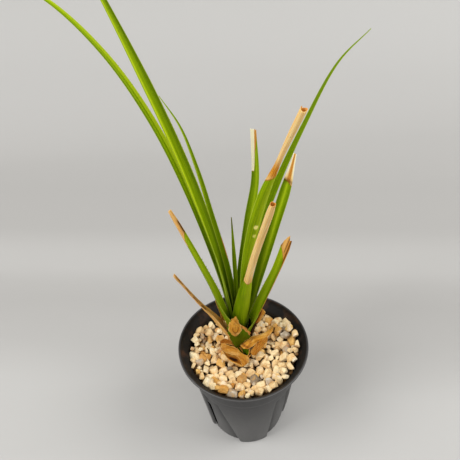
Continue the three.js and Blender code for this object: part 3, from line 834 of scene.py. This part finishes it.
def make_leaf(node, azimuth, twist, table, shade, keel, spine, base, bands):
    rows, cols = max(90, int(upright_line(azimuth, spine, 8)[1] / 0.9)), 29
    line, length, hollow = upright_line(azimuth, spine, rows)
    spiral = ROLL_SPIRAL if node in ROLLED else 0.0
    mid, along, across = blade_grid(line, table, hollow, cols, twist, keel, spiral, leaf_end(node))
    thickness = (LEAF_THICKNESS - 0.16 * along) * (1 - 0.55 * np.abs(across) ** 3)
    builder = Builder()
    add_sheet(builder, mid, thickness, along=along * length / 100, across=across, shade=shade,
              **dryness(node, along, across, base, bands))
    if node in ROLLED:
        inner, dry = builder.fields["inner"][0][1], builder.fields["dry"][0][1]
        builder.fields["hollow"] = [(0, inner * (dry > 0.5))]
    start, stop = int(rows * 0.1), int(rows * 0.72)
    for column, beside in ((0, 1), (cols - 1, cols - 2)):
        edge = mid[start:stop, column]
        add_spines(builder, edge, edge - mid[start:stop, beside],
                   LONG_SPINE if node in TOOTHED else SHORT_SPINE, across=1.0, shade=shade)
    builder.make(node + "_blade", LEAF, "green_leaf", node)


def make_sheath(node, azimuth, twist, table, shade, keel, spine):
    line, length, hollow = upright_line(azimuth, spine, 60)
    finish_dry(node, shade, *blade_grid(line, table, hollow, 25, twist, keel), length)


# Under wall of the fallen sheath, below its open mouth
FALLEN_FLOOR = [
    (-146, 15, 762, -146, -3, 758, -143, -23, 760),
    (-119, -22, 758, -116, -51, 750, -111, -88, 760),
    (-85, -41, 756, -83, -75, 748, -79, -118, 760),
    (-48, -59, 756, -47, -92, 748, -45, -136, 758),
    (-16, -103, 754, -16, -123, 748, -15, -151, 752),
]


# Dark curled scrap between the fallen sheath and the stem
CURLED_SCRAP = [
    (-162, 52, 778, -156, 44, 768, -150, 34, 770),
    (-132, 60, 796, -130, 46, 776, -124, 30, 776),
    (-104, 48, 798, -102, 36, 776, -96, 22, 776),
    (-74, 32, 792, -74, 26, 778, -74, 18, 774),
]


def patch_grid(rows, count, cols):
    """Smooth sheet through rows of places, its outer face towards the viewer or upwards."""
    rows = np.reshape(rows, (-1, 3, 3)) / 10
    across = np.stack([catmull_rom(row[::-1], cols)[0] for row in rows])
    mid = np.stack([catmull_rom(across[:, c], count)[0] for c in range(cols)], axis=1)
    along = np.linspace(0, 1, count)[:, None] * np.ones(cols)
    side = np.ones(count)[:, None] * np.linspace(1, -1, cols)
    return mid, along, side


def make_torn(node, rows):
    seed = sum(map(ord, node))
    mid, along, across = patch_grid(rows, 64, 41)
    length = distances(mid[:, 20])[-1]
    frayed = 1 + 0.09 * noise_wave(along * 23 + 4 * np.sign(across), seed + 5) * np.abs(across) ** 3
    centre = mid[:, 20:21]
    mid = centre + (mid - centre) * frayed[..., None]
    builder = Builder()
    if node == "dry_collar":
        height = along + 0.3 * across + 0.03 * noise_wave(across * 14, seed)
        rim = smooth(height, 0.87, 0.93) * smooth(across, -0.1, 0.3)
        # Painted shade: the collar is dimmed all over and darker low down, under the flap
        add_sheet(builder, mid, 0.5, along=along * length / 100, across=across * 0.8, shade=0.55, dry=rim,
                  scorch=0.85 * rim, dim=0.6, dark=0.45 * (1 - smooth(along, 0.45, 0.9)))
        builder.make(node + "_base", LEAF, "green_leaf", node)
        return
    if node == "dry_sheath_fallen":
        under, place, side = patch_grid(FALLEN_FLOOR, 50, 21)
        # Painted shadow in the open mouth, on the under wall
        mouth_shadow = np.exp(-((place - 0.6) / 0.27) ** 4 - ((side - 0.1) / 0.6) ** 4)
        add_sheet(builder, under, DRY_THICKNESS, along=place, across=side, shade=1.2, dark=0.3 + 0.7 * mouth_shadow)
        scrap, place, side = patch_grid(CURLED_SCRAP, 30, 21)
        add_sheet(builder, scrap, DRY_THICKNESS, along=place, across=side, shade=0.4,
                  dark=0.78 - 0.7 * smooth(side, 0.5, 0.8))
    finish_dry(node, 0.3, mid, along, across, length, 0.6, builder)


# Pieces that are darker all over, and how much darker they are
DARKENED = {"dry_strip_lower": 0.5, "dry_sheath_fallen": 0.35, "dry_sheath_right": 0.2}


def finish_dry(node, shade, mid, along, across, length, crease=1.0, builder=None):
    """Crease a sheet of dry tissue and make it into the piece of its node."""
    seed = sum(map(ord, node))
    wrinkle = 0.35 * noise_wave(across * 7 + 2 * noise_wave(along * 5, seed), seed + 1)
    wrinkle += 0.3 * noise_wave(along * 16 + across * 2, seed + 2)
    wrinkle *= crease * smooth(along, 0.02, 0.25)
    mid = mid + grid_normals(mid) * wrinkle[..., None]
    builder = builder or Builder()
    dark = smooth(noise_wave(along * 9 + across * 3, seed + 3), 0.2, 0.9) * 0.5
    # Painted shade in the troughs of the wrinkles
    dark += smooth(-wrinkle, 0.1, 0.5) * 0.4
    lit = 0.0
    if node == "dry_splinter_back":
        dark = dark * 0.3
    elif node == "leaf_left_dead":
        dashes = smooth(noise_wave(along * 60, seed + 4), -0.5, 0.2)
        fold = peak(across, -0.88, 0.22) * smooth(along, 0.42, 0.55)
        dark = np.maximum(dark * 0.2, (0.75 + 0.25 * dashes) * fold)
        # Painted light over the dead leaf, less where it is dark
        lit = 0.5 * (1 - dark)
    elif node in DARKENED:
        dark = np.minimum(0.9, dark + DARKENED[node])
    if node == "dry_strip_upper":
        # Painted shade on the strip's end by the stem
        near = 0.9 * peak(along, 0.07, 0.03) * (1 - smooth(np.abs(across), 0.6, 0.9))
        dark = np.maximum(dark, near)
    elif node == "dry_sheath_right":
        # Painted shade over its left side, behind the leaf, and its lower part
        dark = np.maximum(dark, np.maximum(smooth(-across, -0.85, -0.1), 1 - smooth(along, 0.45, 0.7)))
    elif node == "dry_sheath_front":
        # Painted shade in the flap's curled crease
        hook_shade = peak(np.hypot(along - 0.42, (across - 0.15) * 0.55), 0.22, 0.04)
        dark = np.maximum(dark * 0.7, 0.95 * hook_shade * (1 - smooth(along, 0.4, 0.55)))
    add_sheet(builder, mid, DRY_THICKNESS, along=along * length / 30, across=across, shade=shade * 3,
              dark=dark, lit=lit)
    builder.make(node + "_tissue", DRY, "dry_sheath", node)


def make_shoot():
    """The cut side shoot: two sheath walls round each other, open at the top, with dry rims."""
    builder = Builder()
    for turn, wide, top in ((200, 1.15, 6.8), (20, 0.8, 5.8)):
        place = np.linspace(0, 1, 24)[:, None]
        angle = np.radians(turn + np.linspace(-118, 118, 33))[None]
        radius = wide * (1.9 + 3.2 * smooth(place, 0, 1)) * (1 - 0.12 * np.cos(2 * angle))
        height = SHOOT_FOOT + top * place * (1 - 0.22 * np.abs(np.sin(angle * 1.5)))
        mid = circle(radius, angle, height)[:, ::-1] + [*SHOOT, 0]
        side = np.linspace(1, -1, 33)[None] + 0 * place
        rim = smooth(place + 0.15 * np.abs(side), 0.86, 0.98)
        edge = smooth(np.abs(side), 0.75, 0.95)
        # Painted shade (dim) over the shoot's walls
        add_sheet(builder, mid, 0.5, along=place * 0.1, across=side * 0.8, shade=0.6,
                  dry=np.maximum(rim, edge), scorch=0.8, dim=0.6)
    builder.make("side_shoot_cup", LEAF, "cut_shoot", "cut_side_shoot")


def finish_stem():
    """Bark in place of the plain material of the CAD mesh."""
    g = Graph("stem_wood")
    rings = g.noise(260, 4, 0.6, at=g.place((1, 1, 3)))
    bark = g.mix(g.span(rings, 0.35, 0.68), (84, 56, 30), (158, 116, 66))
    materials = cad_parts["stem"].data.materials
    materials.clear()
    materials.append(g.finish(bark, 0.85, 0.2, Normal=g.bump(rings, 0.0004, 0.9)))


# Gravel

def icosphere(subdivisions):
    ball = bmesh.new()
    bmesh.ops.create_icosphere(ball, subdivisions=subdivisions, radius=1)
    ball.verts.index_update()
    points = np.array([v.co[:] for v in ball.verts])
    faces = [tuple(v.index for v in face.verts) for face in ball.faces]
    ball.free()
    return points, faces


def lump(directions, seed):
    """Worn crushed stone: the directions pushed out to a random set of flats, edges rounded."""
    stone = np.random.default_rng(seed)
    flats = stone.normal(size=(stone.integers(*FLATS), 3))
    flats /= np.linalg.norm(flats, axis=1, keepdims=True)
    reach = stone.uniform(*FLAT_REACH, len(flats))
    pull = np.clip(directions @ flats.T / reach, 0, None)
    crisp = stone.uniform(*EDGE_CRISPNESS)
    radius = ((pull ** crisp).sum(1) + 0.8 ** crisp) ** (-1 / crisp)
    for _ in range(5):
        wave = stone.normal(size=3) * stone.uniform(2, 6)
        radius += 0.011 * np.sin(directions @ wave + stone.uniform(0, 6.28))
    points = directions * radius[:, None] * stone.uniform(*STONE_SIDES)
    turn = Matrix.Rotation(stone.uniform(0, 6.28), 3, "Z")
    for axis in "XY":
        turn = turn @ Matrix.Rotation(stone.normal(0, STONE_TILT), 3, axis)
    return points @ np.array(turn).T


def gravel_surface(x, y):
    """Height of the gravel's upper face."""
    near_plant = np.exp(-((x - PLANT[0]) ** 2 + (y - PLANT[1]) ** 2) / 16 ** 2)
    back_right = np.exp(-((x - 21) ** 2 + (y - 22) ** 2) / 9 ** 2)
    sides = smooth(np.hypot(x, y), 22, 38) * (1 - smooth(y, 14, 34))
    left, front = 1.8 * smooth(-x, 24, 38), 1.8 * smooth(-y, 4, 26)
    right = 3.6 * smooth(x, 8, 34) + 3.2 * smooth(x, 28, 38)
    rise = 4.6 + np.maximum(right, np.maximum(left, front))
    return 71.3 + 3.0 * near_plant + 2.6 * back_right + rise * sides


def inner_radius(height):
    """Clear radius inside the pot, measured at the set-back panels where there are any."""
    panel = PANEL_DEPTH * (1 - smooth(height, PANEL_TOP, PANEL_TOP + PANEL_FADE))
    return wall_radius(np.minimum(height, SHOULDER_HEIGHT + 10)) - WALL - panel


def settle_stones():
    """Loose layers of balls below the surface, pushed apart until hardly any overlap."""
    places, sizes, tops = [], [], []
    for layer, count in enumerate(STONES):
        k = np.arange(count) + 0.5
        reach = LAYER_REACH * np.sqrt(k / count)
        angle = k * GOLDEN_TURN + layer
        x, y = reach * np.cos(angle), reach * np.sin(angle)
        small = rng.uniform(0, 1, count) < SMALL_SHARE
        size = np.where(small, rng.uniform(*SMALL_RADIUS, count), rng.uniform(*LARGE_RADIUS, count))
        z = gravel_surface(x, y) - size - layer * LAYER_DROP + rng.uniform(-0.6, 0.6, count)
        places.append(np.stack([x, y, z], -1))
        sizes.append(size)
        tops.append(rng.uniform(-1.3, 1.2, count))
    place, size, cap = np.concatenate(places), np.concatenate(sizes), np.concatenate(tops)
    blocks = [(*PLANT[:2], PLANT_ROOM), (*SHOOT, SHOOT_ROOM)]
    for _ in range(SETTLE_STEPS):
        gap = place[:, None] - place[None]
        distance = np.linalg.norm(gap, axis=2) + np.eye(len(place)) * 99
        overlap = np.clip((size[:, None] + size[None]) * 0.99 - distance, 0, None)
        place += (gap / distance[..., None] * overlap[..., None]).sum(1) * SETTLE_RATE
        for x, y, radius in blocks:
            flat = place[:, :2] - (x, y)
            away = np.linalg.norm(flat, axis=1)
            push = np.clip(radius + size * 0.9 - away, 0, None)
            place[:, :2] += flat / away[:, None] * push[:, None]
        away = np.linalg.norm(place[:, :2], axis=1)
        limit = inner_radius(place[:, 2] - 0.5 * size) - 0.96 * size
        place[:, :2] *= np.minimum(1, limit / away)[:, None]
        top = gravel_surface(place[:, 0], place[:, 1]) - size
        place[:, 2] = np.minimum(place[:, 2], top + cap)
    return place, size


def add_core(builder):
    """Closed lumpy mass of the gravel out of sight, up to just below the loose layers."""
    turn = np.linspace(0, 2 * math.pi, 121)[:-1]
    rings = []
    for height in np.linspace(FLOOR + 0.4, CORE_TOP, 34):
        lumps = np.sin(9 * turn + height * 0.7) * np.cos(height * 0.55 + 3 * np.sin(7 * turn))
        radius = inner_radius(height) - 2.4 - 1.1 * np.abs(lumps)
        rings.append(circle(radius, turn, height))
    # The hidden mass is painted in full gap shade
    builder.add(np.concatenate(rings), tube_faces(len(rings), len(turn)), tone=0.4, warmth=0.3, deep=1.0)


def make_gravel():
    place, size = settle_stones()
    fine, coarse = icosphere(4), icosphere(2)
    depth = gravel_surface(place[:, 0], place[:, 1]) - place[:, 2]
    upper, lower = (Builder(), Builder()), Builder()
    for k in range(len(place)):
        seen = depth[k] < SEEN_DEPTH
        directions, faces = fine if seen else coarse
        points = lump(directions, 500 + k) * size[k] * STONE_GROWTH + place[k]
        room = (inner_radius(points[:, 2]) - WALL_GAP) / np.hypot(points[:, 0], points[:, 1])
        points[:, :2] *= np.minimum(1, room)[:, None]
        # Painted shade in the gaps: darker deeper below the surface and on each stone's lower side
        deep = smooth(gravel_surface(points[:, 0], points[:, 1]) - points[:, 2], 2.3, 5.2)
        deep = np.maximum(deep, smooth((place[k, 2] - points[:, 2]) / size[k], -0.1, 0.75))
        builder = upper[int(place[k, 1] > BACK_HALF)] if seen else lower
        builder.add(points, faces, tone=rng.uniform(0, 1), warmth=rng.uniform(0, 1), deep=deep)
    add_core(lower)
    loose = [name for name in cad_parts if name.startswith("stone_")]
    for name, builder in (("gravel_front", upper[0]), ("gravel_back", upper[1]), ("gravel_below", lower)):
        builder.make(name, STONE, "gravel", "gravel_bed", *loose)


def make_floor():
    """Paper that runs level under the pot and rises behind it."""
    bend_radius, back, front, side, top = 260, 420, -9000, 60000, 2400
    bend = [(back + bend_radius * math.sin(a), bend_radius - bend_radius * math.cos(a))
            for a in np.linspace(0, math.pi / 2, 24)]
    flat = [(y, 0) for y in (front, *range(-120, back, 15))]
    profile = flat + bend + [(back + bend_radius, top)]
    columns = (-side, *range(-900, 901, 60), side)
    points = np.array([(x, y, z) for y, z in profile for x in columns])
    away = points[:, 1] + points[:, 2] + PAPER_SLANT * points[:, 0]
    builder = Builder()
    builder.add(points, grid_faces(len(profile), len(columns), flip=True),
                band=np.interp(away, *zip(*PAPER_SHADE)))
    g = Graph("paper_sweep")
    # Painted shade on the paper
    paper = g.mix(g.field("band"), (202, 201, 198), (173, 171, 168))
    floor = link("sweep", builder.mesh("sweep", g.finish(paper, 0.9, 0.15)))


def make_camera():
    pitch, roll = math.radians(CAMERA_PITCH), math.radians(CAMERA_ROLL)
    look = Vector((0, math.cos(pitch), -math.sin(pitch)))
    level_up = Vector((0, math.sin(pitch), math.cos(pitch)))
    right = Vector((math.cos(roll), 0, 0)) - level_up * math.sin(roll)
    up = level_up * math.cos(roll) + Vector((math.sin(roll), 0, 0))
    camera = link("camera", bpy.data.cameras.new("camera"))
    camera.data.sensor_width = SENSOR
    camera.data.lens = SENSOR * FOCAL_PIXELS / FRAME_PIXELS
    camera.data.clip_start = 0.01
    turn = Matrix((right, up, -look)).transposed().to_4x4()
    camera.matrix_world = Matrix.Translation(Vector(CAMERA_PLACE) * MM) @ turn
    bpy.context.scene.camera = camera


def make_lights():
    for name, (place, width, power) in LIGHTS.items():
        light = bpy.data.lights.new(name, "AREA")
        light.shape = "SQUARE"
        light.size = width
        light.energy = power
        lamp = link(name, light)
        lamp.location = place
        direction = Vector(LIGHT_TARGET) - Vector(place)
        lamp.rotation_euler = direction.to_track_quat("-Z", "Y").to_euler()
        lamp.visible_camera = False
    world = bpy.data.worlds.new("studio")
    world.use_nodes = True
    background = world.node_tree.nodes["Background"]
    background.inputs["Color"].default_value = (1, 1, 1, 1)
    background.inputs["Strength"].default_value = WORLD_STRENGTH
    bpy.context.scene.world = world


make_camera()
make_floor()
make_lights()
make_pot()
for leaf in LEAVES:
    make_leaf(*leaf)
for sheath in SHEATHS:
    make_sheath(*sheath)
for torn_node, torn_rows in TORN.items():
    make_torn(torn_node, torn_rows)
make_shoot()
make_gravel()
finish_stem()

bpy.context.scene.view_settings.view_transform = "Standard"
